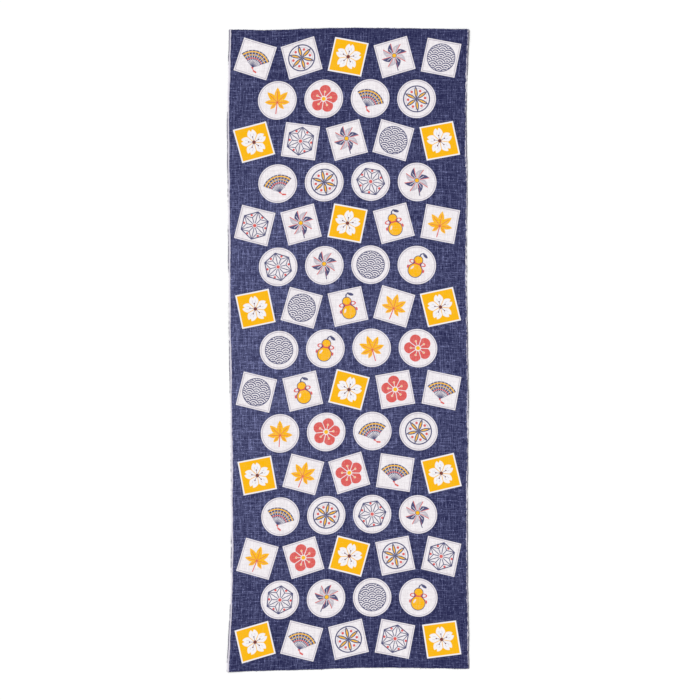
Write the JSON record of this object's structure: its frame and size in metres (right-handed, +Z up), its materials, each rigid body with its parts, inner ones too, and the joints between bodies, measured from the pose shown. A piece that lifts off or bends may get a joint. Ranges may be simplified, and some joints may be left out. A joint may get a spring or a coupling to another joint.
{
  "type": "tenugui towel",
  "caption": "Flat unhemmed cotton hand towel, laid out, with undyed selvedges, raw cut ends and a scattered patch print on an indigo ground.",
  "frame": {"origin": "middle of the towel's footprint, on the surface that it lies on", "axes": "+X across the cloth along the weft, +Y along the warp towards the far raw end, +Z up out of the printed face"},
  "size_m": [0.3408, 0.9054, 0.0026],
  "materials": {
    "printed_cotton": "matt plain-weave cotton, indigo ground with pale slubs, off-white and amber patches, undyed selvedges"
  },
  "bodies": {
    "root": {"towel_cloth": "printed_cotton"}
  },
  "joints": []
}
